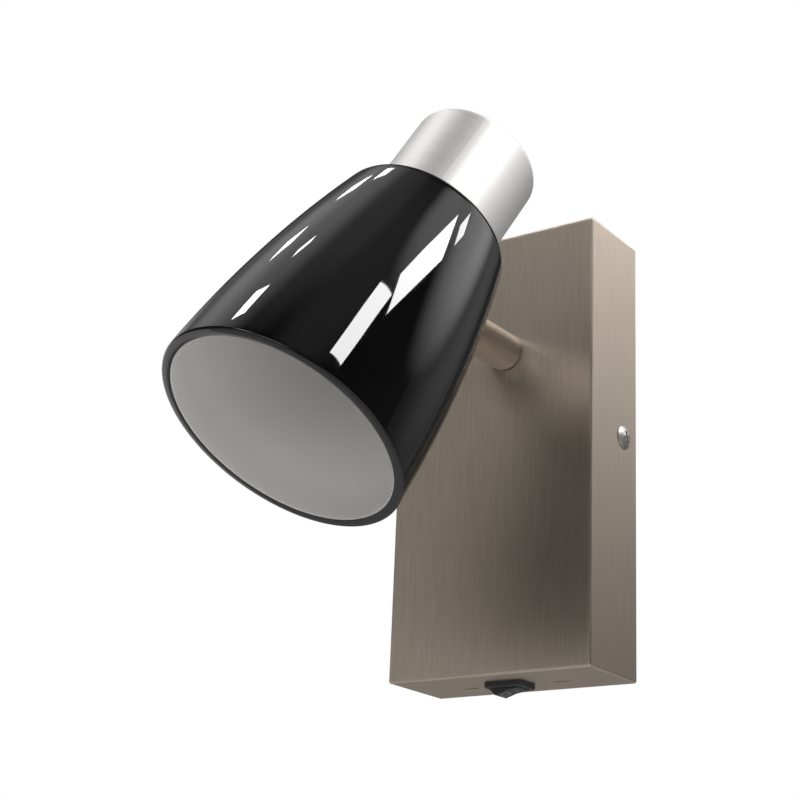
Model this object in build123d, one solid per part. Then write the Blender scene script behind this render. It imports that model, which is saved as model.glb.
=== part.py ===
from build123d import *
import math
import os

# Wall reading lamp: a folded steel wall box with a rocker switch underneath, a bent
# swivelling arm, and a metal lamp cup that carries a bell-shaped glass shade.
#
# Frame, in millimetres: the wall is the plane Y = 0 and the lamp stands out towards -Y,
# +Z is up, and the origin is the centre of the box's back.

# ---------------------------------------------------------------- wall box
BOX_W = 80.0            # width
BOX_H = 160.0           # height
BOX_D = 32.0            # depth off the wall
SHEET = 1.2             # cover sheet thickness
FOLD_R = 0.9            # outside radius of the cover's folds
SLOT_X = 18.0           # open slots in the underside
SLOT_Y = -12.5
SLOT_L = 6.2
SLOT_W = 1.3
SCREW_Y = -9.1          # M4 screws in the sides, which hold the cover
SCREW_Z = 4.5
SCREW_R = 1.95
SCREW_L = 6.0
SCREW_HEAD_R = 4.2
SCREW_HEAD_H = 2.6

BRACKET_T = 1.5         # wall bracket
BRACKET_PLAY = 0.2      # between its ears and the cover's sides
EAR_DEPTH = 21.0
EAR_HALF = 12.0
WALL_SLOT_SPACING = 80.0
WALL_SLOT_W = 4.5
WALL_SLOT_L = 10.0
WALL_SLOT_EDGE = 13.0   # bracket above and below its slots
CABLE_HOLE_R = 10.0     # mains cable, through the bracket and its bush
BUSH_BORE_R = 6.0
BUSH_LIP = 2.0
BUSH_LIP_T = 1.6

# ---------------------------------------------------------------- mains terminals
TERMINAL_X = -22.0
TERMINAL_Z = -24.0
TERMINAL_W = 24.0
TERMINAL_H = 18.0
TERMINAL_D = 15.0
POLE_X = 7.0            # each pole from the block's middle
POLE_DEPTH = 8.0        # poles in front of the bracket
BARREL_R = 2.55
BARREL_BORE_R = 1.5
BARREL_HALF = 8.0
CLAMP_Z = 4.5           # clamp screws, above and below the middle
CLAMP_R = 1.25
CLAMP_HEAD_R = 1.8
FIXING_R = 1.45
FIXING_HEAD_R = 2.8
EARTH_X = 14.0
EARTH_Z = -24.0
EARTH_HEAD_R = 3.6
EARTH_HEAD_H = 2.4
EARTH_WASHER_R = 4.5
EARTH_WASHER_T = 0.8

# ---------------------------------------------------------------- rocker switch
SWITCH_Y = -16.4        # its middle
SWITCH_W = 15.0         # flange
SWITCH_D = 10.5
FLANGE_T = 2.0
BODY_W = 13.2           # moulded body above the panel
BODY_D = 8.4
BODY_H = 11.0
CUT_PLAY = 0.1          # round the body in the panel
POCKET_W = 12.4
POCKET_D = 7.3
POCKET_TOP = 6.0
WELL_W = 9.0
WELL_D = 6.4
WELL_TOP = 10.0
PIVOT_Z = 0.5           # pivot above the underside
PIVOT_R = 0.8
PIVOT_HALF = 3.9
ROCKER_TILT = 13.0      # the rocker stands this far over, left end out
ROCKER_END_R = 6.1
ROCKER_HALF = 3.5
ROCKER_TOP = 2.4
VALLEY = 3.6            # middle of the rocker's face below the pivot
CREST = 4.0             # its ends below the pivot
BLADE_X = 3.2           # switch terminals
BLADE_W = 4.8
BLADE_T = 0.8
BLADE_TOP = 18.0

# ---------------------------------------------------------------- arm
ARM_X = 5.0             # foot on the front panel
ARM_Z = 35.0
TUBE_R = 6.75
TUBE_WALL = 1.0
ARM_REACH = 50.5        # front panel to the corner of the bend
ARM_RISE = 61.2         # corner of the bend to the axis of the cup
BEND = 45.0             # angle of the bend, degrees
BEND_R = 50.0           # centre line radius of the bend
ARM_SWIVEL = 69.0       # bend leans this far clockwise from upright, seen from the front
HEAD_TURN = 46.7        # head is turned this far from pointing straight out

THREAD_R = 4.93         # M10 fine nipples at both ends
THREAD_HOLE_R = 5.0
ON_THREAD_R = 4.95      # bore of what is screwed or pushed on a nipple
WIRE_BORE_R = 3.2
PLUG_R = 5.73           # nipple's plug, pressed into the tube
PLUG_L = 9.0
FOOT_THREAD_L = 9.0     # thread inside the panel
CUP_THREAD_END = 12.4   # thread's end, from the cup's axis
END_GAP = 0.05          # running gap at both ends of the arm
WASHER_T = 0.5          # foot washer
WASHER_R = 6.35
STOP_T = 1.0            # foot's stop washer
STOP_R = 9.0
STOP_TAB_R = 13.0
STOP_TAB_W = 3.0
STOP_PIN_R = 1.5
STOP_PIN_L = 2.4
STOP_PIN_PLACE = 11.5   # below the arm's foot
WAVE_T = 0.8
WAVE_R = 8.0
FOOT_NUT = 14.0         # across flats
FOOT_NUT_T = 3.5

# ---------------------------------------------------------------- head
CUP_R = 20.4            # lamp cup
CUP_WALL = 1.0
CUP_REAR = 12.7         # closed end, behind the joint
CUP_EDGE_R = 2.0
SEAT = CUP_R + 2.0      # flat seat for the arm's end, from the cup's axis
SHADE_END = 21.0        # shade's closed end, in front of the joint
SHADE_L = 86.0          # glass shade, mouth to end
MOUTH_R = 38.15
WAIST_R = 34.6          # outside radius half way along
END_R = 26.2            # outside radius at the end
SHOULDER_R = 5.5
GLASS = 2.4
LIP_R = 1.1             # fire-polished lip at the mouth
GLASS_HOLE_R = 14.3

BRACKET_SHEET = 1.2     # holder bracket
LEG_FACE = 17.4         # its inner face, from the cup's axis
LEG_HALF = 7.4
LEG_FRONT = 9.5
FOOT_END = 5.0
LUG_FRONT = 7.8
LUG_BACK = 6.5
LUG_HALF = 1.2
CUP_STOP_T = 0.8        # stop washer at the cup
CUP_STOP_R = 6.2
SECTOR_R = 7.5
SECTOR_HALF = 59.0      # half angle of its wide sector, degrees
CUP_WAVE_T = 0.6
CUP_WAVE_R = 6.6
CUP_NUT = 13.0          # across flats
CUP_NUT_T = 3.0
WASHER_PLAY = 0.1

HOLDER_REAR = 7.8       # rear face of the lampholder, behind the joint
HOLDER_R = 11.4
HOLDER_FLANGE_R = 17.4
HOLDER_FLANGE_T = 2.6
HOLDER_L = 62.0         # lampholder's mouth behind the shade's mouth
HOLDER_FLAT = 8.2       # flat on the arm's side, from the axis
SKIRT_R = 13.9          # threaded skirt
SOCKET_R = 7.6
SOCKET_L = 30.0
SHELL_BORE_R = 6.95     # E14 lamp cap
SHELL_L = 23.5
SHELL_PLACE = 2.5       # behind the lampholder's mouth
HOLDER_SCREW_Y = 5.2    # M3 screws
HOLDER_SCREW_R = 1.45
HOLDER_HEAD_R = 2.4
HOLDER_HEAD_H = 1.6
HOLDER_SCREW_DEPTH = 6.0
RING_R = 19.4           # screw ring under the glass
RING_BORE_R = 13.93
RING_RECESS_R = 17.6
RING_WEB_T = 2.0
RING_NECK_T = 1.6
RING_L = 6.5
RING_NOTCHES = 12
NOTCH_R = 1.3

# ---------------------------------------------------------------- wiring
LEAD_R = 0.95
LEAD_GAP = 1.15         # half the distance between two conductors side by side
LEAD_BEND_R = 3.0
LEAD_TURN_X = -10.3     # where the leads leave the arm and turn up behind the lampholder
LEAD_SLOT_L = 6.4
LEAD_SLOT_W = 3.6
LEAD_OVER = 2.45        # their height above the lampholder's rear face
LEAD_HOLE_X = 7.6       # where they go down into it
LEAD_HOLE_Y = 5.0
LEAD_HOLE_R = 1.4
LEAD_HOLE_DEPTH = 9.0

SPARE = 1.0             # how far a cutter runs past what it cuts
FAR = 40.0              # past everything near it
PRESS = 0.02            # clearance of a pressed or threaded fit

# ---------------------------------------------------------------- worked-out places
FRONT_Y = -BOX_D
FLOOR_Z = -BOX_H / 2
INNER_X = BOX_W / 2 - SHEET
POLE_Y = -BRACKET_T - POLE_DEPTH
MOUTH_Z = -SHADE_END - SHADE_L      # the mouth, in the head's own frame
HOLDER_MOUTH = MOUTH_Z + HOLDER_L
BLADE_TOP_Z = FLOOR_Z + BLADE_TOP
LEAD_Y = SWITCH_Y + BLADE_T / 2 + LEAD_R + END_GAP

bend_angle = math.radians(BEND)
turn_angle = math.radians(HEAD_TURN)
out_dir = Vector(0, -math.cos(bend_angle), math.sin(bend_angle))
straight_out = Vector(0, -math.sin(bend_angle), -math.cos(bend_angle))
mouth_dir = straight_out * math.cos(turn_angle) + Vector(1, 0, 0) * math.sin(turn_angle)
corner = Vector(0, -ARM_REACH, 0)
joint_point = corner + out_dir * ARM_RISE

to_room = Rot(90, 0, 0)             # turns +Z to -Y, out of the wall
to_wall = Rot(-90, 0, 0)            # turns +Z to +Y, into the box
to_cup = Rot(0, 90, 0)              # turns +Z to +X, from the arm into the cup
foot_place = Pos(ARM_X, FRONT_Y, ARM_Z)
arm_place = foot_place * Rot(0, ARM_SWIVEL, 0)
arm_end_place = arm_place * Plane(origin=joint_point, x_dir=out_dir, z_dir=-straight_out).location
head_place = arm_place * Plane(origin=joint_point, x_dir=out_dir, z_dir=-mouth_dir).location
switch_place = Pos(0, SWITCH_Y, FLOOR_Z)
terminal_place = Pos(TERMINAL_X, -BRACKET_T, TERMINAL_Z) * to_room
earth_place = Pos(EARTH_X, -BRACKET_T, EARTH_Z) * to_room
BASE = (Align.CENTER, Align.CENTER, Align.MIN)


# ---------------------------------------------------------------- helpers
def rod(radius, low, high):
    """A cylinder about Z from low to high."""
    return Pos(0, 0, low) * Cylinder(radius, high - low, align=BASE)


def tube(radius, bore, low, high):
    """A ring about Z from low to high."""
    return rod(radius, low, high) - rod(bore, low - SPARE, high + SPARE)


def block(x, y, z):
    """A box between the given pairs of limits."""
    size = (x[1] - x[0], y[1] - y[0], z[1] - z[0])
    middle = Pos(sum(x) / 2, sum(y) / 2, sum(z) / 2)
    return middle * Box(*size)


def upright(width, depth, low, high):
    """A box about Z from low to high."""
    return Pos(0, 0, low) * Box(width, depth, high - low, align=BASE)


def nut(across_flats, low, high):
    """A hexagon nut about Z with its outer corners broken."""
    height = high - low
    prism = extrude(RegularPolygon(across_flats / 2, 6, major_radius=False), height)
    dome = Cone(across_flats * 0.72, across_flats * 0.5, height, align=BASE)
    return Pos(0, 0, low) * (prism & dome) - rod(ON_THREAD_R, low - SPARE, high + SPARE)


def top_edge(solid):
    return solid.edges().sort_by(Axis.Z)[-1]


# ---------------------------------------------------------------- wall box
def side_place(side):
    """A side screw's place, with +Z out of that side."""
    return Pos(side * BOX_W / 2, SCREW_Y, SCREW_Z) * Rot(0, 90 * side, 0)


def wall_cover():
    """Folded cover, open to the wall."""
    shell = block((-BOX_W / 2, BOX_W / 2), (FRONT_Y, 0), (FLOOR_Z, -FLOOR_Z))
    shell = fillet([e for e in shell.edges() if e.center().Y < -SHEET], FOLD_R)
    shell -= block((-INNER_X, INNER_X), (FRONT_Y + SHEET, SPARE), (FLOOR_Z + SHEET, -FLOOR_Z - SHEET))
    shell -= foot_place * to_wall * rod(THREAD_HOLE_R, -SPARE, SHEET + SPARE)
    shell -= switch_place * upright(BODY_W + 2 * CUT_PLAY, BODY_D + 2 * CUT_PLAY, -SPARE, SHEET + SPARE)
    slot = extrude(SlotOverall(SLOT_L, SLOT_W), SHEET + 2 * SPARE)
    for side in (-1, 1):
        shell -= Pos(side * SLOT_X, SLOT_Y, FLOOR_Z - SPARE) * slot
        shell -= side_place(side) * rod(SCREW_R + 0.3, -SHEET - SPARE, SPARE)
    return shell


def swivel_stop_pin():
    """Rivet inside the panel that the arm's stop washer runs against."""
    return foot_place * Pos(0, 0, -STOP_PIN_PLACE) * to_wall * rod(STOP_PIN_R, SHEET, SHEET + STOP_PIN_L)


def wall_bracket():
    """Plate screwed to the wall, with an ear for each of the cover's screws."""
    half = INNER_X - BRACKET_PLAY
    top = WALL_SLOT_SPACING / 2 + WALL_SLOT_EDGE
    plate = block((-half, half), (-BRACKET_T, 0), (-top, top))
    wall_slot = to_room * extrude(SlotOverall(WALL_SLOT_L, WALL_SLOT_W, rotation=90), FAR, both=True)
    for side in (-1, 1):
        ear = block(sorted((side * (half - BRACKET_T), side * half)), (-EAR_DEPTH, 0),
                    (SCREW_Z - EAR_HALF, SCREW_Z + EAR_HALF))
        corners = ear.edges().filter_by(Axis.X).sort_by(Axis.Y)[:2]
        plate += fillet(corners, EAR_HALF / 3)
        plate -= side_place(side) * rod(SCREW_R + PRESS, -SCREW_L, 0)
        plate -= Pos(0, 0, side * WALL_SLOT_SPACING / 2) * wall_slot
    plate -= to_room * rod(CABLE_HOLE_R, -FAR, FAR)
    plate -= terminal_place * rod(FIXING_R + PRESS, -FAR, FAR)
    plate -= earth_place * rod(SCREW_R + PRESS, -FAR, FAR)
    return plate


def cover_screws():
    """Two pan head screws, from the sides into the bracket's ears."""
    head = rod(SCREW_HEAD_R, 0, SCREW_HEAD_H)
    head = fillet(top_edge(head), SCREW_HEAD_H * 0.6)
    screw = head + rod(SCREW_R, -SCREW_L, SPARE)
    return Compound(children=[side_place(side) * screw for side in (1, -1)])


def cable_bush():
    """Plastic bush in the bracket's cable hole, with a rounded lip on the room side."""
    lip = tube(CABLE_HOLE_R + BUSH_LIP, BUSH_BORE_R, 0, BUSH_LIP_T)
    rims = lip.edges().filter_by(GeomType.CIRCLE).sort_by(Axis.Z)[-2:].sort_by(SortBy.LENGTH)
    lip = chamfer(rims[-1], BUSH_LIP / 3)
    throat = lip.edges().filter_by(GeomType.CIRCLE).sort_by(Axis.Z)[-2:].sort_by(SortBy.LENGTH)[0]
    lip = fillet(throat, BUSH_LIP / 3)
    neck = tube(CABLE_HOLE_R - END_GAP, BUSH_BORE_R, 0.1 - BRACKET_T, 0.4)
    return Pos(0, -BRACKET_T, 0) * to_room * (lip + neck)


# ---------------------------------------------------------------- mains terminals
def pole_place(side):
    """Middle of one of the block's two poles, in the block's own frame."""
    return Pos(side * POLE_X, 0, POLE_DEPTH)


def terminal_block():
    """Moulded block with a barrel in each pole and a fixing screw between them."""
    body = upright(TERMINAL_W, TERMINAL_H, 0, TERMINAL_D)
    body = chamfer(body.edges().sort_by(Axis.Z)[-4:], SPARE)
    body -= rod(FIXING_R + 0.15, -SPARE, FAR)
    body -= rod(FIXING_HEAD_R + 0.4, TERMINAL_D / 2 + 1.5, FAR)
    for side in (-1, 1):
        body -= pole_place(side) * to_room * rod(BARREL_R + END_GAP, -FAR, FAR)
        for height in (-CLAMP_Z, CLAMP_Z):
            body -= pole_place(side) * Pos(0, height, 0) * rod(CLAMP_HEAD_R + 0.2, 0, FAR)
    return terminal_place * body


def terminal_clamps():
    """Brass barrels, one for each pole."""
    barrel = to_room * tube(BARREL_R, BARREL_BORE_R, -BARREL_HALF, BARREL_HALF)
    for height in (-CLAMP_Z, CLAMP_Z):
        barrel -= Pos(0, height, 0) * rod(CLAMP_R + END_GAP, 0, FAR)
    return Compound(children=[terminal_place * pole_place(side) * barrel for side in (-1, 1)])


def terminal_screws():
    """Two clamp screws in each barrel."""
    screw = rod(CLAMP_R, 1.0, 3.2) + rod(CLAMP_HEAD_R, 3.0, 5.0)
    screw -= upright(FAR, 0.5, 4.4, FAR)
    places = [pole_place(side) * Pos(0, height, 0) for side in (-1, 1) for height in (-CLAMP_Z, CLAMP_Z)]
    return Compound(children=[terminal_place * place * screw for place in places])


def terminal_fixing_screw():
    seat = TERMINAL_D / 2 + 1.5 + END_GAP
    screw = rod(FIXING_R, -2 * BRACKET_T, seat + PRESS) + rod(FIXING_HEAD_R, seat, seat + 2.0)
    return terminal_place * screw


def earth_washer():
    return earth_place * tube(EARTH_WASHER_R, SCREW_R + 0.15, 0, EARTH_WASHER_T)


def earth_screw():
    """Slotted pan head screw that clamps the earth wire on the bracket."""
    top = EARTH_WASHER_T + EARTH_HEAD_H
    head = rod(EARTH_HEAD_R, EARTH_WASHER_T, top)
    head = chamfer(top_edge(head), SPARE)
    head -= upright(FAR, 0.8, top - 1.0, FAR)
    return earth_place * (head + rod(SCREW_R, 0.1 - BRACKET_T, EARTH_WASHER_T + 0.2))


# ---------------------------------------------------------------- rocker switch
def switch_housing():
    """Snap-in body: a rounded flange under the panel and a box above it."""
    flange = upright(SWITCH_W, SWITCH_D, -FLANGE_T, 0)
    flange = fillet(flange.edges().filter_by(Axis.Z), 1.3)
    flange = fillet(flange.edges().sort_by(Axis.Z)[:8], 0.5)
    body = flange + upright(BODY_W, BODY_D, -0.2, BODY_H)
    for side in (-1, 1):
        wall = side * (BODY_W / 2 - 0.1)
        catch = Polyline((wall, 1.4), (side * SWITCH_W / 2, 1.5), (wall, 6.5), (wall, 1.4))
        body += extrude(make_face(Plane.XZ * catch), 1.6, both=True)
        body -= Pos(side * BLADE_X, 0, 0) * upright(BLADE_W + 0.1, BLADE_T + 0.1, WELL_TOP - SPARE, FAR)
    body -= upright(POCKET_W, POCKET_D, -FAR, POCKET_TOP)
    body -= upright(WELL_W, WELL_D, 0, WELL_TOP)
    body -= Pos(0, 0, PIVOT_Z) * to_room * rod(PIVOT_R + 0.06, -PIVOT_HALF - END_GAP, PIVOT_HALF + END_GAP)
    return switch_place * body


def switch_rocker():
    """Shallow V face; the ends are turned about the pivot so that they clear the flange."""
    half = math.sqrt(ROCKER_END_R ** 2 - CREST ** 2)
    outline = Polyline((-FAR, -CREST), (-half, -CREST), (0, -VALLEY), (half, -CREST), (FAR, -CREST),
                       (FAR, ROCKER_TOP), (-FAR, ROCKER_TOP), (-FAR, -CREST))
    body = extrude(make_face(Plane.XZ * outline), ROCKER_HALF, both=True)
    body &= to_room * rod(ROCKER_END_R, -FAR, FAR)
    body = fillet([e for e in body.edges() if e.center().Z < END_GAP - CREST], 0.4)
    body += to_room * rod(PIVOT_R, -PIVOT_HALF, PIVOT_HALF)
    body += upright(2.0, 3.0, ROCKER_TOP - 0.4, POCKET_TOP)
    return switch_place * Pos(0, 0, PIVOT_Z) * Rot(0, -ROCKER_TILT, 0) * body


def switch_terminals():
    """Two blades with a solder hole in each."""
    blade = upright(BLADE_W, BLADE_T, WELL_TOP - 0.8, BLADE_TOP)
    blade -= Pos(0, 0, BLADE_TOP - 2.5) * to_room * rod(LEAD_R - END_GAP, -SPARE, SPARE)
    return Compound(children=[switch_place * Pos(side * BLADE_X, 0, 0) * blade for side in (-1, 1)])


# ---------------------------------------------------------------- arm and its foot
def arm_tube():
    """Steel tube: straight from the panel, one bend, straight to the cup."""
    start = Vector(0, -WASHER_T, 0)
    finish = corner + out_dir * (ARM_RISE - SEAT - END_GAP)
    path = FilletPolyline(start, corner, finish, radius=BEND_R)
    section = Plane(origin=start, z_dir=(0, -1, 0))
    outside = sweep(section * Circle(TUBE_R), path)
    return arm_place * (outside - sweep(section * Circle(TUBE_R - TUBE_WALL), path))


def arm_foot_washer():
    return arm_place * to_room * tube(WASHER_R, THREAD_HOLE_R, END_GAP, WASHER_T)


def foot_nipple():
    """Pressed into the tube; its thread goes through the panel."""
    body = rod(PLUG_R, -WASHER_T - PLUG_L, -WASHER_T) + rod(THREAD_R, -WASHER_T - SPARE, FOOT_THREAD_L)
    return arm_place * to_wall * (body - rod(WIRE_BORE_R, -FAR, FAR))


def foot_stop_washer():
    """Turns with the arm; its tab runs against the panel's pin."""
    low = SHEET + WASHER_PLAY
    disc = rod(STOP_R, low, low + STOP_T)
    tab = Pos(0, -STOP_TAB_R / 2, 0) * upright(STOP_TAB_W, STOP_TAB_R, low, low + STOP_T)
    return arm_place * to_wall * (disc + tab - rod(ON_THREAD_R, -FAR, FAR))


def foot_wave_washer():
    low = SHEET + WASHER_PLAY + STOP_T
    return arm_place * to_wall * tube(WAVE_R, ON_THREAD_R, low, low + WAVE_T)


def foot_lock_nut():
    low = SHEET + WASHER_PLAY + STOP_T + WAVE_T
    return arm_place * to_wall * nut(FOOT_NUT, low, low + FOOT_NUT_T)


# ---------------------------------------------------------------- joint at the cup, arm side
def cup_nipple():
    """Pressed into the tube; its thread goes through the saddle, the cup and the bracket."""
    end = -SEAT - END_GAP
    body = rod(PLUG_R, end - PLUG_L, end) + rod(THREAD_R, end - SPARE, -CUP_THREAD_END)
    return arm_end_place * to_cup * (body - rod(WIRE_BORE_R, end - FAR, 0))


def cup_stop_washer():
    """Turns with the arm; its wide sector runs against a lug on the holder bracket."""
    low = WASHER_PLAY - LEG_FACE
    spread = FAR * math.tan(math.radians(SECTOR_HALF))
    wedge = make_face(Polyline((0, 0), (-FAR, spread), (-FAR, -spread), (0, 0)))
    sector = rod(SECTOR_R, low, low + CUP_STOP_T) & extrude(wedge, FAR, both=True)
    washer = rod(CUP_STOP_R, low, low + CUP_STOP_T) + sector
    return arm_end_place * to_cup * (washer - rod(ON_THREAD_R, -FAR, FAR))


def cup_wave_washer():
    low = WASHER_PLAY - LEG_FACE + CUP_STOP_T
    return arm_end_place * to_cup * tube(CUP_WAVE_R, ON_THREAD_R, low, low + CUP_WAVE_T)


def cup_lock_nut():
    low = WASHER_PLAY - LEG_FACE + CUP_STOP_T + CUP_WAVE_T
    return arm_end_place * to_cup * nut(CUP_NUT, low, low + CUP_NUT_T)


# ---------------------------------------------------------------- head, in its own frame
# The cup's axis is Z, with the mouth towards -Z, and the arm comes in from -X.
nipple_hole = to_cup * rod(THREAD_HOLE_R, -FAR, -CUP_R / 2)


def cup_saddle():
    """Collar between the arm's flat end and the round cup."""
    collar = to_cup * rod(TUBE_R, -SEAT, -CUP_R * 0.85)
    return head_place * (collar - nipple_hole - rod(CUP_R, -FAR, FAR))


def lamp_cup():
    """Spun aluminium cup, closed behind, with a hole in its side for the arm's nipple."""
    cup = fillet(top_edge(rod(CUP_R, -SHADE_END, CUP_REAR)), CUP_EDGE_R)
    core = rod(CUP_R - CUP_WALL, -SHADE_END - SPARE, CUP_REAR - CUP_WALL)
    core = fillet(top_edge(core), CUP_EDGE_R * 0.6)
    return head_place * (cup - core - nipple_hole)


def holder_bracket():
    """Angle bracket clamped inside the cup by the arm's nut; it carries the lampholder."""
    back = HOLDER_REAR + BRACKET_SHEET
    leg = block((-CUP_R, -LEG_FACE), (-LEG_HALF, LEG_HALF), (-LEG_FRONT, back))
    foot = block((-CUP_R, FOOT_END), (-LEG_HALF, LEG_HALF), (HOLDER_REAR, back))
    lug = block((-LEG_FACE - 0.1, 0.9 - LEG_FACE), (-LUG_HALF, LUG_HALF), (-LUG_FRONT, -LUG_BACK))
    body = (leg + foot + lug) & rod(CUP_R - CUP_WALL - PRESS, -FAR, FAR)
    slot = Rot(0, 0, 90) * extrude(SlotOverall(LEAD_SLOT_L, LEAD_SLOT_W), 3 * SPARE, both=True)
    body -= nipple_hole
    body -= Pos(LEAD_TURN_X, 0, HOLDER_REAR) * slot
    for side in (-1, 1):
        body -= Pos(0, side * HOLDER_SCREW_Y, 0) * rod(HOLDER_SCREW_R + 0.1, HOLDER_REAR - SPARE, FAR)
    return head_place * body


def holder_screws():
    """Two screws through the bracket's foot into the lampholder."""
    under_head = HOLDER_REAR + BRACKET_SHEET
    screw = rod(HOLDER_SCREW_R, HOLDER_REAR - HOLDER_SCREW_DEPTH, under_head + 0.1)
    screw += rod(HOLDER_HEAD_R, under_head, under_head + HOLDER_HEAD_H)
    return Compound(children=[head_place * Pos(0, side * HOLDER_SCREW_Y, 0) * screw for side in (-1, 1)])


def lampholder():
    """Moulded screw lampholder: threaded skirt, clamping flange and rear body."""
    body = rod(SKIRT_R, HOLDER_MOUTH, -SHADE_END + 0.3)
    body += rod(HOLDER_FLANGE_R, -SHADE_END + END_GAP, -SHADE_END + HOLDER_FLANGE_T)
    body += rod(HOLDER_R, -SHADE_END + SPARE, HOLDER_REAR)
    body -= rod(SOCKET_R, HOLDER_MOUTH - SPARE, HOLDER_MOUTH + SOCKET_L)
    body -= Pos(0, 0, HOLDER_MOUTH) * Cone(SOCKET_R + 1.6, SOCKET_R, 1.6, align=BASE)
    body -= block((-FAR, -HOLDER_FLAT), (-FAR, FAR), (7 - SHADE_END, FAR))
    for side in (-1, 1):
        screw_hole = rod(HOLDER_SCREW_R + PRESS, HOLDER_REAR - HOLDER_SCREW_DEPTH, FAR)
        lead_hole = rod(LEAD_HOLE_R, HOLDER_REAR - LEAD_HOLE_DEPTH, FAR)
        body -= Pos(0, side * HOLDER_SCREW_Y, 0) * screw_hole
        body -= Pos(LEAD_HOLE_X, side * LEAD_HOLE_Y, 0) * lead_hole
    return head_place * body


def lampholder_shell():
    """Rolled brass shell that takes the lamp's screw cap."""
    low = HOLDER_MOUTH + SHELL_PLACE
    return head_place * tube(SOCKET_R - PRESS, SHELL_BORE_R, low, low + SHELL_L)


def lampholder_contact():
    """Centre contact on its spring tongue."""
    floor = HOLDER_MOUTH + SOCKET_L
    tongue = block((-5.5, 2.5), (-1.6, 1.6), (floor - 1.0, floor - PRESS))
    button = Pos(0, 0, floor - 2.4) * Cone(1.0, 2.0, 1.5, align=BASE)
    return head_place * (tongue + button)


def shade_ring():
    """Screw ring that clamps the glass against the cup, with grip notches."""
    high = -SHADE_END - GLASS - 0.25
    low = high - RING_L
    ring = tube(RING_R, RING_BORE_R, low, high)
    ring -= tube(RING_RECESS_R, RING_BORE_R + RING_NECK_T, low - SPARE, high - RING_WEB_T)
    notch = Pos(RING_R + 0.5, 0, 0) * rod(NOTCH_R, low - SPARE, high - RING_WEB_T)
    for step in range(RING_NOTCHES):
        ring -= Rot(0, 0, 360 / RING_NOTCHES * step) * notch
    return head_place * ring


def bell(inset):
    """Solid of the shade's form, mouth at Z = 0: one long arc and a rounded shoulder."""
    mouth, waist, end = MOUTH_R - inset, WAIST_R - inset, END_R - inset
    length = SHADE_L - inset
    side = ThreePointArc((mouth, 0), (waist, length / 2), (end, length))
    lid = Line((end, length), (0, length))
    axis_line = Line((0, length), (0, 0))
    base = Line((0, 0), (mouth, 0))
    solid = revolve(make_face(Plane.XZ * (side + lid + axis_line + base)), Axis.Z)
    return fillet(top_edge(solid), SHOULDER_R - inset)


def glass_shade():
    """Blown bell with an open mouth and a hole in its closed end for the lampholder."""
    glass = bell(0) - bell(GLASS) - rod(GLASS_HOLE_R, SHADE_L / 2, SHADE_L + SPARE)
    rims = glass.edges().sort_by(Axis.Z)[:2].sort_by(SortBy.LENGTH)
    return head_place * Pos(0, 0, MOUTH_Z) * fillet(rims[-1], LIP_R)


# ---------------------------------------------------------------- wiring
def lead(points, bend):
    """One insulated conductor along straight runs joined by arcs."""
    path = FilletPolyline(*points, radius=bend)
    first = Vector(*points[0])
    section = Plane(origin=first, z_dir=Vector(*points[1]) - first) * Circle(LEAD_R)
    return sweep(section, path)


def arm_leads():
    """Two conductors side by side through the arm."""
    leads = []
    for side in (-1, 1):
        shift = Vector(side * LEAD_GAP, 0, 0)
        start = Vector(0, FOOT_THREAD_L + 1.5, 0) + shift
        finish = corner + out_dir * (ARM_RISE - CUP_THREAD_END + 0.4) + shift
        leads.append(arm_place * lead([start, corner + shift, finish], BEND_R))
    return Compound(children=leads)


def head_leads():
    """From the end of the arm up behind the lampholder and down into its terminals."""
    over = HOLDER_REAR + LEAD_OVER
    leads = []
    for side in (-1, 1):
        points = [(LEAD_TURN_X, side * LEAD_GAP, 0), (LEAD_TURN_X, side * LEAD_GAP, over),
                  (2.5, side * LEAD_GAP, over), (LEAD_HOLE_X, side * LEAD_HOLE_Y, over),
                  (LEAD_HOLE_X, side * LEAD_HOLE_Y, HOLDER_REAR - HOLDER_SCREW_DEPTH)]
        leads.append(head_place * lead(points, 1.3))
    return Compound(children=leads)


def switch_live_lead():
    """From the live pole down to the switch."""
    x = TERMINAL_X - POLE_X
    points = [(x, POLE_Y, TERMINAL_Z - 5), (x, POLE_Y, -45), (-BLADE_X, LEAD_Y, -50),
              (-BLADE_X, LEAD_Y, BLADE_TOP_Z - 4)]
    return lead(points, LEAD_BEND_R)


def switched_lead():
    """From the switch up to the arm's foot."""
    x = ARM_X + LEAD_GAP + END_GAP
    points = [(BLADE_X, LEAD_Y, BLADE_TOP_Z - 4), (BLADE_X, LEAD_Y, -52), (9, LEAD_Y, -44),
              (9, -14, 14), (x, -13, 28), (x, -20.5, ARM_Z)]
    return lead(points, LEAD_BEND_R)


def neutral_lead():
    """From the neutral pole round the block and up to the arm's foot."""
    x = ARM_X - LEAD_GAP - END_GAP
    pole = TERMINAL_X + POLE_X
    points = [(pole, POLE_Y, TERMINAL_Z - 5), (pole, POLE_Y, -42), (-8.5, -13, -42), (-8.5, -13, 12),
              (x, -12.5, 28), (x, -20.5, ARM_Z)]
    return lead(points, LEAD_BEND_R)


NODES = [
    wall_cover, swivel_stop_pin, wall_bracket, cover_screws, cable_bush,
    terminal_block, terminal_clamps, terminal_screws, terminal_fixing_screw, earth_washer, earth_screw,
    switch_housing, switch_rocker, switch_terminals,
    arm_tube, arm_foot_washer, foot_nipple, foot_stop_washer, foot_wave_washer, foot_lock_nut,
    cup_nipple, cup_stop_washer, cup_wave_washer, cup_lock_nut,
    cup_saddle, lamp_cup, holder_bracket, holder_screws,
    lampholder, lampholder_shell, lampholder_contact, shade_ring, glass_shade,
    arm_leads, head_leads, switch_live_lead, switched_lead, neutral_lead,
]

os.makedirs("parts", exist_ok=True)
for make in NODES:
    export_step(make(), f"parts/{make.__name__}.step")
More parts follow.
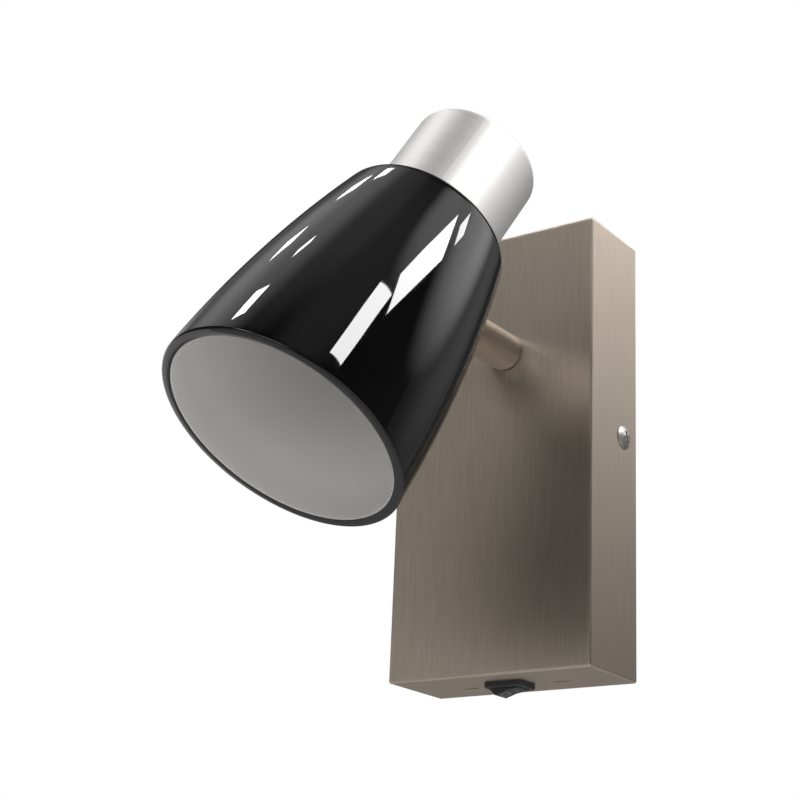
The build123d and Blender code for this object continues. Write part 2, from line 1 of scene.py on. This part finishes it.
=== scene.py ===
import bmesh
import bpy
import math
from mathutils import Matrix, Quaternion, Vector


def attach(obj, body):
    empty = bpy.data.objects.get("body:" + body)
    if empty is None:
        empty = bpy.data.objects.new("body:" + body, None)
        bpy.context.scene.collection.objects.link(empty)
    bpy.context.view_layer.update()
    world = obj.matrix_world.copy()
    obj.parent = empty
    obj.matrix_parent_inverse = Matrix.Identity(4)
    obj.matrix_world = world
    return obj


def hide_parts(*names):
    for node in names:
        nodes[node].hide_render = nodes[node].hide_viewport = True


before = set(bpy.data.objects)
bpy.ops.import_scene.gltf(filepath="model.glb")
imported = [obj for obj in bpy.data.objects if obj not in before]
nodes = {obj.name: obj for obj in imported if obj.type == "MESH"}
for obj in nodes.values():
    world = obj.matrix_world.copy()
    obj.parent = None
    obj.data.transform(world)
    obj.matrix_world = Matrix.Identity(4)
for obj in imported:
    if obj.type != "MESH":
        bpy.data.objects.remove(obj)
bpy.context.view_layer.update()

MM = 0.001

# Wall box. The finish of its top and underside starts at END_START from the box's middle and is
# complete at END_FULL.
BOX_W = 80 * MM
BOX_H = 160 * MM
END_START = 0.5 * BOX_H - 0.6 * MM
END_FULL = 0.5 * BOX_H - 0.2 * MM

# Arm, from its swivel in the panel to the head's joint
ARM_FOOT = Vector((5, -32, 35)) * MM
ARM_SWIVEL = math.radians(69.0)
HEAD_TURN = math.radians(46.7)
ARM_REACH = 50.5 * MM
ARM_RISE = 61.2 * MM

# Glass shade
SHADE_L = 86 * MM
SHADE_END = 21 * MM
GLASS = 2.4 * MM
MOUTH_R = 38.15 * MM
WAIST_R = 34.6 * MM
END_R = 26.2 * MM
SHOULDER_R = 5.5 * MM
GLASS_HOLE_R = 14.3 * MM
GLASS_STEPS = 160

# Shade's lip, thicker than its wall up to LIP_TOP
LIP_ROUND = 0.6 * MM
LIP_INNER_ROUND = 0.5 * MM
LIP_BORE_R = 34.9 * MM
LIP_TOP = 9 * MM

# Screws in the box's sides
SCREW_Y = -9.1 * MM
SCREW_Z = 4.5 * MM
SCREW_TURN = math.radians(18)
SCREW_STEPS = 48
SCREW_HEAD_R = 4.2 * MM
SCREW_HEAD_H = 1.5 * MM
SCREW_EDGE_H = 0.35 * MM
SHANK_R = 1.95 * MM
SHANK_L = 6 * MM
TIP_R = 1.75 * MM
THREAD_ROOT_R = 1.72 * MM
THREAD_LOW = -5.4 * MM
THREAD_PITCH = 0.7 * MM
THREAD_TURNS = 7
RECESS_BAR = (6.4 * MM, 1.2 * MM, 3.4 * MM)
RECESS_TAPER = (0.45, 0.85, 1.0)

# Rocker of the switch and the marks on its two sloping halves
ROCKER_PIVOT = Vector((0, -16.4, -79.5)) * MM
ROCKER_TILT = math.radians(13.0)
ROCKER_LEAN = math.atan2(0.4, 4.6)
MARK_X = 2.35 * MM
MARK_Z = -3.805 * MM
MARK_PROUD = 0.04 * MM
RING_INNER_R = 1.3 * MM
RING_OUTER_R = 1.95 * MM
RING_STEPS = 40
BAR_W = 0.6 * MM
BAR_L = 3.6 * MM
BAR_CORNER = 0.2 * MM

# Lampholder's rolled shell, an E14 thread
SHELL_R = 7.5 * MM
SHELL_WAVE = 0.5 * MM
SHELL_PITCH = 2.82 * MM
SHELL_LOW = -42.5 * MM
SHELL_TURNS = 7.2
SHELL_STEPS = 40
SHELL_ROWS = 8

# Finishes
SCRATCH_DEPTH = 0.05 * MM
GRAIN_DEPTH = 0.1 * MM
CUP_GRAIN_R = 20 * MM

# Studio
FLOOR_SIZE = 0.8
FLOOR_Z = -0.55
LIT_POINT = Vector((0.02, -0.12, 0))
LIGHT_DISTANCE = 2.0

# Camera, fitted to the photo
LENS = 80.1
SENSOR_W = 36
CAMERA_PLACE = Vector((320.33, -532.59, -192.27)) * MM
CAMERA_RIGHT = Vector((0.81918, 0.57205, 0.04124))
CAMERA_DOWN = Vector((-0.15826, 0.29457, -0.94244))
CAMERA_FORWARD = Vector((-0.55127, 0.7655, 0.33184))


# ---------------------------------------------------------------- places
def arm_frame():
    """Arm's swivel in the panel, turned to the rest pose."""
    return Matrix.Translation(ARM_FOOT) @ Matrix.Rotation(ARM_SWIVEL, 4, "Y")


def head_frame():
    """Origin at the joint, X along the arm's end, Z out of the back of the cup."""
    half = math.sqrt(0.5)
    out = Vector((0, -half, half))
    straight = Vector((0, -half, -half))
    mouth = straight * math.cos(HEAD_TURN) + Vector((1, 0, 0)) * math.sin(HEAD_TURN)
    joint = Vector((0, -ARM_REACH, 0)) + out * ARM_RISE
    back = -mouth
    side = back.cross(out)
    turn = Matrix((out, side, back)).transposed().to_4x4()
    return arm_frame() @ Matrix.Translation(joint) @ turn


HEAD = head_frame()
MOUTH = HEAD @ Matrix.Translation((0, 0, -SHADE_END - SHADE_L))
ROCKER = Matrix.Translation(ROCKER_PIVOT) @ Matrix.Rotation(-ROCKER_TILT, 4, "Y")


def direction(azimuth, elevation):
    """Direction from the lamp, in degrees; azimuth 0 is +Y and 90 is +X."""
    a = math.radians(azimuth)
    e = math.radians(elevation)
    return Vector((math.sin(a) * math.cos(e), math.cos(a) * math.cos(e), math.sin(e)))


# ---------------------------------------------------------------- shader graphs
class Value:
    """A shader socket that can be used in sums."""

    def __init__(self, look, socket):
        self.look = look
        self.socket = socket

    def step(self, kind, *others):
        return self.look.node("ShaderNodeMath", {"operation": kind}, [self, *others])

    def flipped(self, kind, other):
        return self.look.node("ShaderNodeMath", {"operation": kind}, [other, self])

    def __add__(self, other):
        return self.step("ADD", other)

    def __sub__(self, other):
        return self.step("SUBTRACT", other)

    def __mul__(self, other):
        return self.step("MULTIPLY", other)

    def __truediv__(self, other):
        return self.step("DIVIDE", other)

    def __pow__(self, other):
        return self.step("POWER", other)

    def __rsub__(self, other):
        return self.flipped("SUBTRACT", other)

    def __rtruediv__(self, other):
        return self.flipped("DIVIDE", other)

    __radd__ = __add__
    __rmul__ = __mul__


class Look:
    """A procedural material, or the world, built from nodes."""

    def __init__(self, owner, shader, output):
        owner.use_nodes = True
        self.tree = owner.node_tree
        self.tree.nodes.clear()
        self.shader = self.tree.nodes.new(shader)
        self.end = self.tree.nodes.new(output)
        self.tree.links.new(self.shader.outputs[0], self.end.inputs[0])

    def node(self, kind, settings=None, inputs=(), output=0):
        made = self.tree.nodes.new(kind)
        for name, setting in (settings or {}).items():
            setattr(made, name, setting)
        pairs = inputs.items() if isinstance(inputs, dict) else enumerate(inputs)
        for key, given in pairs:
            self.feed(made.inputs[key], given)
        return Value(self, made.outputs[output])

    def feed(self, socket, given):
        if isinstance(given, Value):
            self.tree.links.new(given.socket, socket)
        elif isinstance(given, tuple) and len(given) == 3 and socket.type == "RGBA":
            socket.default_value = (*given, 1)
        else:
            socket.default_value = given

    def set(self, **inputs):
        for name, given in inputs.items():
            self.feed(self.shader.inputs[name.replace("_", " ")], given)

    def place(self):
        return self.node("ShaderNodeTexCoord", output="Object")

    def stretch(self, place, scale):
        return self.node("ShaderNodeVectorMath", {"operation": "MULTIPLY"}, [place, scale])

    def along(self, place, way):
        return self.node("ShaderNodeVectorMath", {"operation": "DOT_PRODUCT"}, [place, way], "Value")

    def vector(self, x, y, z):
        return self.node("ShaderNodeCombineXYZ", {}, [x, y, z])

    def noise(self, place, scale, detail):
        return self.node("ShaderNodeTexNoise", {}, {"Vector": place, "Scale": scale, "Detail": detail,
                                                   "Roughness": 0.5})

    def ramp(self, value, low, high, start=0.0, end=1.0):
        return self.node("ShaderNodeMapRange", {"interpolation_type": "SMOOTHSTEP"},
                         {"Value": value, "From Min": low, "From Max": high, "To Min": start, "To Max": end})

    def colours(self, factor, low, high):
        return self.node("ShaderNodeMix", {"data_type": "RGBA"}, {0: factor, 6: low, 7: high}, 2)

    def bump(self, height, strength, distance):
        return self.node("ShaderNodeBump", {}, {"Height": height, "Strength": strength,
                                               "Distance": distance})


def surface(name):
    return Look(bpy.data.materials.new(name), "ShaderNodeBsdfPrincipled", "ShaderNodeOutputMaterial")


def brushed(name, grain_place, dark, light, rough, strength, stretch, turn=0.0, plain_ends=False):
    """Brushed metal: fine scratches along the first axis that grain_place gives.

    stretch is how far highlights are drawn out across the scratches, turn their direction.
    With plain_ends they aren't drawn out on the box's top and underside."""
    look = surface(name)
    place = grain_place(look)
    fine = look.noise(look.stretch(place, (0.014, 1.0, 1.0)), 4600.0, 2.0)
    coarse = look.noise(look.stretch(place, (0.03, 1.0, 1.0)), 1500.0, 2.0)
    cloud = look.noise(place, 30.0, 2.0)
    streak = fine * 0.75 + coarse * 0.25
    tone = look.ramp(streak + cloud * 0.12, 0.38, 0.74)
    colour = look.colours(tone, dark, light)
    gloss = look.ramp(streak, 0.3, 0.7, rough - 0.02, rough + 0.03)
    relief = look.bump(streak, strength, SCRATCH_DEPTH)
    look.set(Base_Color=colour, Metallic=1.0, Roughness=gloss, Normal=relief, Anisotropic=stretch,
             Anisotropic_Rotation=turn)
    if plain_ends:
        even = look.node("ShaderNodeBsdfPrincipled", {}, {"Base Color": colour, "Metallic": 1.0,
                                                          "Roughness": gloss, "Normal": relief})
        drawn = Value(look, look.shader.outputs[0])
        both = look.node("ShaderNodeMixShader", {}, {0: box_ends(look), 1: drawn, 2: even})
        look.feed(look.end.inputs[0], both)
    return bpy.data.materials[name]


def box_ends(look):
    """1 on the box's top and underside, 0 on its front and sides."""
    height = look.along(look.place(), (0, 0, 1)).step("ABSOLUTE")
    return look.ramp(height, END_START, END_FULL)


def box_grain(look):
    """Scratches run up the box's front and sides, and across its top and underside."""
    place = look.place()
    x = look.along(place, (1, 0, 0))
    y = look.along(place, (0, 1, 0))
    z = look.along(place, (0, 0, 1))
    upright = look.vector(z, x, y)
    return look.node("ShaderNodeMix", {"data_type": "VECTOR"}, {0: box_ends(look), 4: upright, 5: place}, 1)


def sideways_grain(look):
    """Scratches run along X, on the tube and the saddle."""
    return look.place()


def turned_grain(look):
    """Scratches run round the cup."""
    inverse = HEAD.inverted()
    place = look.place()
    x = look.along(place, tuple(inverse[0][:3])) + inverse[0][3]
    y = look.along(place, tuple(inverse[1][:3])) + inverse[1][3]
    z = look.along(place, tuple(inverse[2][:3])) + inverse[2][3]
    angle = look.node("ShaderNodeMath", {"operation": "ARCTAN2"}, [y, x])
    reach = (x * x + y * y) ** 0.5
    return look.vector(angle * CUP_GRAIN_R, z, reach)


def plain(name, dark, light, metal, rough, scale, strength, **extra):
    """A plain finish with a fine grain in its colour, gloss and surface."""
    look = surface(name)
    place = look.place()
    grain = look.noise(place, scale, 3.0)
    cloud = look.noise(place, scale * 0.05, 2.0)
    look.set(Base_Color=look.colours(look.ramp(grain * 0.5 + cloud * 0.5, 0.3, 0.7), dark, light),
             Metallic=metal, Roughness=look.ramp(cloud, 0.3, 0.7, rough * 0.85, rough * 1.15),
             Normal=look.bump(grain, strength, GRAIN_DEPTH), **extra)
    return bpy.data.materials[name]


def black_glass():
    """Gloss black coat over the glass, with the slow ripple of blown glass."""
    look = surface("gloss_black_glass")
    place = look.place()
    ripple = look.noise(place, 28.0, 1.0)
    smear = look.noise(place, 60.0, 3.0)
    look.set(Base_Color=look.colours(smear, (0.0010, 0.0010, 0.0011), (0.0018, 0.0018, 0.0019)),
             Roughness=look.ramp(smear, 0.3, 0.8, 0.02, 0.05),
             Normal=look.bump(ripple, 0.25, 0.0006), IOR=1.52)
    return bpy.data.materials["gloss_black_glass"]


def white_lining():
    """White opal inside of the shade, with a soft gloss."""
    look = surface("white_opal_lining")
    place = look.place()
    cloud = look.noise(place, 40.0, 2.0)
    look.set(Base_Color=look.colours(cloud, (0.87, 0.855, 0.835), (0.90, 0.885, 0.87)),
             Roughness=look.ramp(cloud, 0.3, 0.7, 0.38, 0.46),
             Normal=look.bump(look.noise(place, 900.0, 2.0), 0.05, GRAIN_DEPTH), IOR=1.5)
    return bpy.data.materials["white_opal_lining"]


def pale_floor():
    """Matt floor of the studio."""
    look = surface("pale_floor")
    cloud = look.noise(look.place(), 3.0, 2.0)
    look.set(Base_Color=look.colours(cloud, (0.68, 0.68, 0.675), (0.72, 0.72, 0.715)), Roughness=0.8)
    return bpy.data.materials["pale_floor"]


LOOKS = {
    "box_nickel": brushed("box_nickel", box_grain, (0.56, 0.475, 0.395), (0.665, 0.58, 0.485), 0.42,
                          0.15, 0.85, plain_ends=True),
    "tube_nickel": brushed("tube_nickel", sideways_grain, (0.64, 0.58, 0.52), (0.74, 0.68, 0.62), 0.20, 0.1,
                           0.3),
    "cup_aluminium": brushed("cup_aluminium", turned_grain, (0.86, 0.85, 0.83), (0.93, 0.92, 0.905), 0.58,
                             0.12, 0.35, 0.25),
    "black_glass": black_glass(),
    "white_lining": white_lining(),
    "black_plastic": plain("black_plastic", (0.006, 0.006, 0.006), (0.011, 0.011, 0.011), 0.0, 0.46, 2500.0,
                           0.15, Specular_IOR_Level=0.05),
    "rocker_plastic": plain("rocker_plastic", (0.006, 0.006, 0.006), (0.011, 0.011, 0.011), 0.0, 0.40,
                            2600.0, 0.12, Specular_IOR_Level=0.07),
    "mark_grey": plain("mark_grey", (0.17, 0.17, 0.165), (0.22, 0.22, 0.21), 0.0, 0.5, 3000.0, 0.1),
    "holder_plastic": plain("holder_plastic", (0.02, 0.02, 0.02), (0.035, 0.035, 0.035), 0.0, 0.42, 1800.0,
                            0.2),
    "white_plastic": plain("white_plastic", (0.74, 0.74, 0.71), (0.80, 0.80, 0.77), 0.0, 0.4, 1800.0, 0.12),
    "zinc_plate": plain("zinc_plate", (0.55, 0.57, 0.60), (0.70, 0.71, 0.72), 1.0, 0.3, 700.0, 0.12),
    "screw_nickel": plain("screw_nickel", (0.52, 0.49, 0.455), (0.64, 0.61, 0.575), 1.0, 0.36, 1500.0, 0.08),
    "spring_steel": plain("spring_steel", (0.32, 0.33, 0.36), (0.42, 0.43, 0.46), 1.0, 0.3, 900.0, 0.1),
    "brass": plain("brass", (0.72, 0.50, 0.20), (0.86, 0.66, 0.32), 1.0, 0.26, 900.0, 0.1),
    "brown_insulation": plain("brown_insulation", (0.13, 0.055, 0.025), (0.18, 0.08, 0.04), 0.0, 0.45,
                              1500.0, 0.1),
    "blue_insulation": plain("blue_insulation", (0.03, 0.12, 0.42), (0.05, 0.17, 0.50), 0.0, 0.45, 1500.0,
                             0.1),
    "clear_insulation": plain("clear_insulation", (0.62, 0.60, 0.54), (0.72, 0.70, 0.64), 0.0, 0.35, 1500.0,
                              0.1),
    "pale_floor": pale_floor(),
}

CAD_LOOKS = {
    "wall_cover": "box_nickel",
    "wall_bracket": "zinc_plate",
    "cable_bush": "white_plastic",
    "terminal_block": "white_plastic",
    "terminal_clamps": "brass",
    "terminal_screws": "zinc_plate",
    "terminal_fixing_screw": "zinc_plate",
    "earth_screw": "brass",
    "earth_washer": "zinc_plate",
    "switch_housing": "black_plastic",
    "switch_rocker": "rocker_plastic",
    "switch_terminals": "brass",
    "switch_live_lead": "brown_insulation",
    "switched_lead": "brown_insulation",
    "neutral_lead": "blue_insulation",
    "swivel_stop_pin": "zinc_plate",
    "arm_tube": "tube_nickel",
    "arm_foot_washer": "spring_steel",
    "foot_nipple": "zinc_plate",
    "foot_stop_washer": "zinc_plate",
    "foot_wave_washer": "spring_steel",
    "foot_lock_nut": "zinc_plate",
    "cup_nipple": "zinc_plate",
    "cup_stop_washer": "zinc_plate",
    "cup_wave_washer": "spring_steel",
    "cup_lock_nut": "zinc_plate",
    "arm_leads": "clear_insulation",
    "cup_saddle": "tube_nickel",
    "lamp_cup": "cup_aluminium",
    "holder_bracket": "zinc_plate",
    "holder_screws": "zinc_plate",
    "lampholder": "holder_plastic",
    "lampholder_contact": "brass",
    "shade_ring": "holder_plastic",
    "head_leads": "clear_insulation",
}
for node, look_name in CAD_LOOKS.items():
    mesh = nodes[node].data
    mesh.materials.clear()
    mesh.materials.append(LOOKS[look_name])


# ---------------------------------------------------------------- pieces
def piece(name, form, look_names, smooth=True):
    """Turns a bmesh into an object with its finishes."""
    bmesh.ops.recalc_face_normals(form, faces=form.faces)
    mesh = bpy.data.meshes.new(name)
    form.to_mesh(mesh)
    form.free()
    if smooth:
        mesh.shade_smooth()
    made = bpy.data.objects.new(name, mesh)
    bpy.context.scene.collection.objects.link(made)
    for look_name in look_names:
        mesh.materials.append(LOOKS[look_name])
    return made


def spun(outline, steps, closed=True):
    """Spins an outline of (radius, height) about Z."""
    form = bmesh.new()
    points = [form.verts.new((r, 0, z)) for r, z in outline]
    pairs = list(zip(points, points[1:]))
    if closed:
        pairs.append((points[-1], points[0]))
    edges = [form.edges.new(pair) for pair in pairs]
    bmesh.ops.spin(form, geom=points + edges, cent=(0, 0, 0), axis=(0, 0, 1), angle=2 * math.pi,
                   steps=steps, use_merge=True)
    bmesh.ops.remove_doubles(form, verts=form.verts, dist=1e-7)
    return form


def arc(centre, radius, start, end, count):
    """Points of an arc in the (radius, height) plane; angles in degrees."""
    angles = [math.radians(start + (end - start) * i / count) for i in range(count + 1)]
    return [(centre[0] + radius * math.cos(a), centre[1] + radius * math.sin(a)) for a in angles]


def circle_through(first, middle, last):
    """Centre and radius of the circle through three points."""
    (ax, ay), (bx, by), (cx, cy) = first, middle, last
    a, b, c = (x * x + y * y for x, y in (first, middle, last))
    scale = 2 * (ax * (by - cy) + bx * (cy - ay) + cx * (ay - by))
    x = (a * (by - cy) + b * (cy - ay) + c * (ay - by)) / scale
    y = (a * (cx - bx) + b * (ax - cx) + c * (bx - ax)) / scale
    return (x, y), math.hypot(ax - x, ay - y)


def bell_side(inset, low, steps):
    """Shade's profile from a height above the mouth up its long arc and over the shoulder."""
    length = SHADE_L - inset
    shoulder = SHOULDER_R - inset
    mouth = (MOUTH_R - inset, 0)
    waist = (WAIST_R - inset, length / 2)
    end = (END_R - inset, length)
    centre, radius = circle_through(mouth, waist, end)
    corner_z = length - shoulder
    corner_r = centre[0] + math.sqrt((radius - shoulder) ** 2 - (corner_z - centre[1]) ** 2)
    lean = math.degrees(math.atan2(corner_z - centre[1], corner_r - centre[0]))
    start = math.degrees(math.asin((low - centre[1]) / radius))
    return arc(centre, radius, start, lean, steps) + arc((corner_r, corner_z), shoulder, lean, 90, 12)[1:]


def bell_middle(height):
    """Radius that parts the black from the lining at a height above the mouth."""
    if height < LIP_ROUND:
        return LIP_BORE_R + 0.25 * MM
    centre, radius = circle_through((MOUTH_R, 0), (WAIST_R, SHADE_L / 2), (END_R, SHADE_L))
    return centre[0] + math.sqrt(radius ** 2 - (height - centre[1]) ** 2) - GLASS / 2


def is_lining(face):
    """Whether a face of the shade is white: inside, but not the rim of the hole in its end."""
    middle = face.calc_center_median()
    reach = math.hypot(middle.x, middle.y)
    inside = reach < bell_middle(middle.z) and middle.z < SHADE_L - GLASS * 0.9
    return inside and reach > GLASS_HOLE_R * 1.01


def bell_glass():
    """Shade in one piece: black outside and round its thick lip, white inside."""
    outside = bell_side(0.0, LIP_ROUND, 48)
    inside = bell_side(GLASS, LIP_TOP, 40)
    lip_outer = arc((MOUTH_R - LIP_ROUND, LIP_ROUND), LIP_ROUND, 270, 345, 6)
    bead = [(LIP_BORE_R + 0.15 * MM, 5.5 * MM), (LIP_BORE_R - 0.02 * MM, 3 * MM), (LIP_BORE_R, 0.9 * MM)]
    lip_inner = arc((LIP_BORE_R + LIP_INNER_ROUND, LIP_INNER_ROUND), LIP_INNER_ROUND, 180, 270, 5)
    hole = [(GLASS_HOLE_R, SHADE_L), (GLASS_HOLE_R, SHADE_L - GLASS)]
    form = spun(lip_outer + outside + hole + inside[::-1] + bead + lip_inner, GLASS_STEPS)
    for face in form.faces:
        face.material_index = int(is_lining(face))
    bmesh.ops.transform(form, matrix=MOUTH, verts=form.verts)
    made = piece("bell_glass", form, ["black_glass", "white_lining"])
    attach(made, "head")
    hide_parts("glass_shade")


def screw_outline():
    """Thread and low round head as (radius, height), with the head's seat at height 0."""
    outline = [(0.0, -SHANK_L), (TIP_R, -SHANK_L), (SHANK_R, -5.6 * MM)]
    for turn in range(THREAD_TURNS):
        z = THREAD_LOW + turn * THREAD_PITCH
        outline += [(SHANK_R, z), (THREAD_ROOT_R, z + THREAD_PITCH / 2)]
    outline += [(SHANK_R, 0.0), (SCREW_HEAD_R - 0.15 * MM, 0.0), (SCREW_HEAD_R, 0.12 * MM)]
    dome_h = SCREW_HEAD_H - SCREW_EDGE_H
    dome_r = (SCREW_HEAD_R ** 2 + dome_h ** 2) / (2 * dome_h)
    lean = math.degrees(math.acos(SCREW_HEAD_R / dome_r))
    return outline + arc((0.0, SCREW_HEAD_H - dome_r), dome_r, lean, 86, 14) + [(0.0, SCREW_HEAD_H)]


def recess_cross():
    """Two crossed bars, narrower at their low end, that the recess is cut with."""
    cross = bmesh.new()
    for quarter in (0, 1):
        bar = bmesh.ops.create_cube(cross, size=1.0)["verts"]
        bmesh.ops.scale(cross, vec=RECESS_BAR, verts=bar)
        low = [v for v in bar if v.co.z < 0]
        bmesh.ops.scale(cross, vec=RECESS_TAPER, verts=low)
        turn = Matrix.Rotation(math.pi / 2 * quarter, 3, "Z")
        bmesh.ops.rotate(cross, cent=(0, 0, 0), matrix=turn, verts=bar)
        bmesh.ops.translate(cross, vec=(0, 0, SCREW_HEAD_H), verts=bar)
    return cross


def cut_away(body, cutter):
    """Cuts one object out of another, then deletes it."""
    carve = body.modifiers.new("recess", "BOOLEAN")
    carve.operation = "DIFFERENCE"
    carve.solver = "EXACT"
    carve.use_self = True
    carve.object = cutter
    bpy.context.view_layer.update()
    carved = body.evaluated_get(bpy.context.evaluated_depsgraph_get())
    mesh = bpy.data.meshes.new_from_object(carved)
    body.modifiers.clear()
    body.data = mesh
    bpy.data.objects.remove(cutter)


def cross_recess_screw(name, place):
    """Screw with a low round head and a cross recess."""
    body = piece(name, spun(screw_outline(), SCREW_STEPS, closed=False), ["screw_nickel"])
    cutter = piece(name + "_cutter", recess_cross(), ["screw_nickel"], smooth=False)
    cut_away(body, cutter)
    body.data.transform(place)
    body.data.set_sharp_from_angle(angle=math.radians(35))
    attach(body, "wall_box")
    return body


def side_screws():
    """The screws in the box's right and left side."""
    screws = []
    for side, word in ((1, "right"), (-1, "left")):
        turn = Matrix.Rotation(side * math.pi / 2, 4, "Y") @ Matrix.Rotation(SCREW_TURN, 4, "Z")
        spot = Matrix.Translation((side * BOX_W / 2, SCREW_Y, SCREW_Z))
        screws.append(cross_recess_screw("cover_screw_" + word, spot @ turn))
    for screw in screws:
        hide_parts("cover_screws")


def off_ring():
    """The O."""
    return spun([(RING_INNER_R, -MARK_PROUD), (RING_OUTER_R, -MARK_PROUD), (RING_OUTER_R, MARK_PROUD),
                 (RING_INNER_R, MARK_PROUD)], RING_STEPS)


def on_bar():
    """The I, with rounded corners."""
    bar = bmesh.new()
    bmesh.ops.create_cube(bar, size=1.0)
    bmesh.ops.scale(bar, vec=(BAR_W, BAR_L, 2 * MARK_PROUD), verts=bar.verts)
    corners = [e for e in bar.edges if abs((e.verts[0].co - e.verts[1].co).z) > MARK_PROUD]
    bmesh.ops.bevel(bar, geom=corners, offset=BAR_CORNER, segments=3, profile=0.5, affect="EDGES",
                    material=-1)
    return bar


def rocker_marks():
    """The O and I marks, printed a hair proud of the rocker's face."""
    for name, form, side in (("off_mark", off_ring(), -1), ("on_mark", on_bar(), 1)):
        spot = Matrix.Translation((side * MARK_X, 0, MARK_Z))
        place = ROCKER @ spot @ Matrix.Rotation(side * ROCKER_LEAN, 4, "Y")
        bmesh.ops.transform(form, matrix=place, verts=form.verts)
        mark = piece(name, form, ["mark_grey"], smooth=False)
        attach(mark, "rocker")


def rolled_shell():
    """The lampholder's brass shell with its rolled screw thread."""
    form = bmesh.new()
    points = []
    for row in range(SHELL_ROWS + 1):
        wave = 0.5 - 0.5 * math.cos(2 * math.pi * row / SHELL_ROWS)
        radius = SHELL_R - SHELL_WAVE * wave
        points.append(form.verts.new((radius, 0, SHELL_LOW + SHELL_PITCH * row / SHELL_ROWS)))
    edges = [form.edges.new(pair) for pair in zip(points, points[1:])]
    bmesh.ops.spin(form, geom=points + edges, cent=(0, 0, 0), axis=(0, 0, 1),
                   dvec=(0, 0, SHELL_PITCH / SHELL_STEPS), angle=2 * math.pi * SHELL_TURNS,
                   steps=int(SHELL_STEPS * SHELL_TURNS))
    bmesh.ops.remove_doubles(form, verts=form.verts, dist=1e-6)
    bmesh.ops.transform(form, matrix=HEAD, verts=form.verts)
    made = piece("rolled_shell", form, ["brass"])
    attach(made, "head")
    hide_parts("lampholder_shell")


bell_glass()
side_screws()
rocker_marks()
rolled_shell()


# ---------------------------------------------------------------- studio
# Windows and a card: azimuth, elevation, width, height, radiance, roll.
SOFTBOXES = {
    "right_window_far": (73.5, 41.2, 17, 9.5, 18, 0),
    "right_window_near": (96.5, 41.0, 12, 11, 18, 45),
    "right_window_slit": (55.5, 38.5, 3.5, 4.5, 12, 0),
    "left_window_low": (-124, 64, 5.5, 4, 24, 35),
    "left_window_slit": (-110, 70, 1.6, 3, 14, 0),
    "left_window_mid": (-83, 58.5, 3, 3.5, 14, 0),
    "left_window_far": (-68, 61, 2.2, 4.5, 14, 0),
    "left_window_high": (-69, 71.5, 2, 5, 14, 0),
    "pale_board": (26, 13, 44, 32, 0.08, 0),
}

# Soft patches of light in the room round the lamp: azimuth, elevation, half width, brightness.
PATCHES = {
    "front_light": (178, 4, 22, 1.8),
    "back_light": (40, 32, 21, 1.75),
    "behind_right": (24, 20, 22, 0.22),
    "front_roof": (-164, 38, 11, 7.0),
    "left_back": (-70, 12, 26, 1.8),
    "left_roof": (-92, 62, 27, 0.72),
    "left_wall": (-80, 42, 28, 0.22),
    "right_roof": (112, 60, 25, 0.20),
    "ceiling": (-165, 84, 22, 0.28),
    "window_glow": (68, 50, 15, 1.30),
    "low_left": (-74, -13, 28, 1.4),
    "front_low": (-150, -24, 26, 0.4),
    "low_right": (105, -34, 45, 0.80),
}


def softbox(name, azimuth, elevation, width, height, radiance, roll):
    """An oblong soft light; its angles are in degrees, as seen from the lamp."""
    toward = direction(azimuth, elevation)
    light = bpy.data.lights.new(name, "AREA")
    light.shape = "RECTANGLE"
    light.size = 2 * LIGHT_DISTANCE * math.tan(math.radians(width / 2))
    light.size_y = 2 * LIGHT_DISTANCE * math.tan(math.radians(height / 2))
    light.energy = radiance * light.size * light.size_y * math.pi
    lamp = bpy.data.objects.new(name, light)
    bpy.context.scene.collection.objects.link(lamp)
    lamp.location = LIT_POINT + toward * LIGHT_DISTANCE
    lamp.rotation_mode = "QUATERNION"
    spin = Quaternion((0, 0, 1), math.radians(roll))
    lamp.rotation_quaternion = toward.to_track_quat("Z", "Y") @ spin


def studio_floor():
    """Pale floor below the lamp."""
    floor = bmesh.new()
    bmesh.ops.create_grid(floor, x_segments=8, y_segments=8, size=FLOOR_SIZE)
    bmesh.ops.translate(floor, vec=(0, 0, FLOOR_Z), verts=floor.verts)
    piece("pale_floor", floor, ["pale_floor"])


def studio_air():
    """The soft light of the room, which the camera sees as plain white."""
    world = bpy.data.worlds.new("studio_air")
    bpy.context.scene.world = world
    air = Look(world, "ShaderNodeBackground", "ShaderNodeOutputWorld")
    place = air.place()
    level = air.ramp(air.along(place, (0, 0, 1)), -0.4, 0.6, 0.12, 0.05)
    for azimuth, elevation, spread, brightness in PATCHES.values():
        near = air.along(place, tuple(direction(azimuth, elevation)))
        level = level + air.ramp(near, math.cos(math.radians(spread)), 1.0, 0.0, brightness)
    seen = air.node("ShaderNodeLightPath", output="Is Camera Ray")
    air.set(Color=air.colours(seen, air.vector(level, level, level), (1.0, 1.0, 1.0)), Strength=1.0)


def camera():
    """The photo's camera."""
    data = bpy.data.cameras.new("camera")
    data.sensor_width = SENSOR_W
    data.lens = LENS
    data.clip_start = 0.01
    data.clip_end = 50
    made = bpy.data.objects.new("camera", data)
    bpy.context.scene.collection.objects.link(made)
    turn = Matrix((CAMERA_RIGHT, -CAMERA_DOWN, -CAMERA_FORWARD)).transposed().to_4x4()
    made.matrix_world = Matrix.Translation(CAMERA_PLACE) @ turn
    bpy.context.scene.camera = made


for box_name, settings in SOFTBOXES.items():
    softbox(box_name, *settings)
studio_floor()
studio_air()
camera()
bpy.context.scene.view_settings.view_transform = "Standard"
